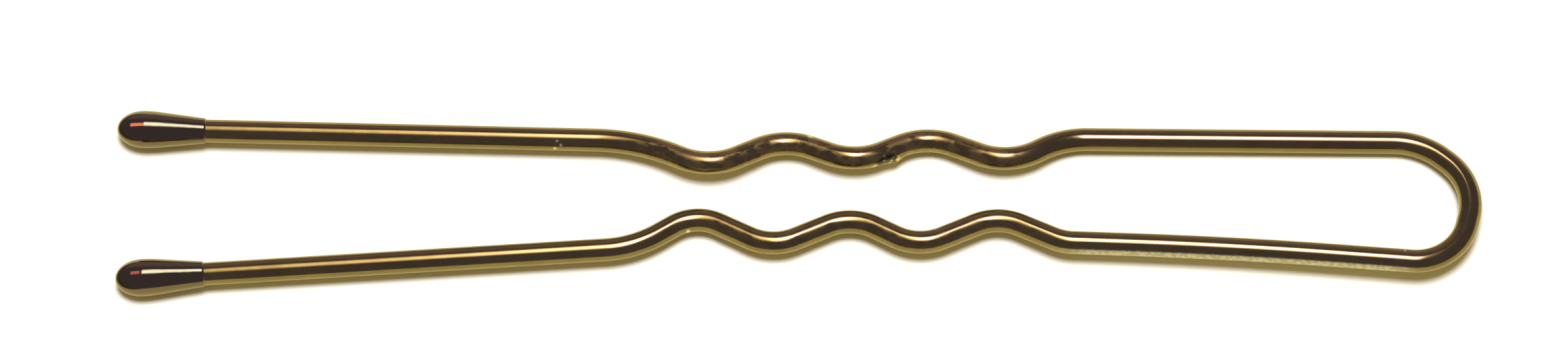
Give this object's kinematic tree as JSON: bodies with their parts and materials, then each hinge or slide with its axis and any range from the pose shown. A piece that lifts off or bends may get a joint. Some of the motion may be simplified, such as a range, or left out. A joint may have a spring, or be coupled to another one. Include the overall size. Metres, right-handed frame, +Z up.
{
  "type": "french hair pin",
  "caption": "U-shaped hair pin of bronze-lacquered wire with crimped legs and drop-shaped ball tips, pushed into a bun or roll of hair to hold it.",
  "frame": {"origin": "centre of the footprint, on the surface that the pin lies on", "axes": "+X from the ball tips towards the bend, +Y from the front leg towards the back leg, +Z up from the surface"},
  "size_m": [0.07, 0.01, 0.0021],
  "materials": {
    "lacquered_wire": "glossy clear bronze-gold lacquer over bright steel wire, with faint drawing lines and small lacquer specks",
    "ball_coat": "dipped ball coat, very dark bronze brown, high gloss"
  },
  "bodies": {
    "root": {"wire": "lacquered_wire", "back_ball_tip": "ball_coat", "front_ball_tip": "ball_coat"}
  },
  "joints": []
}
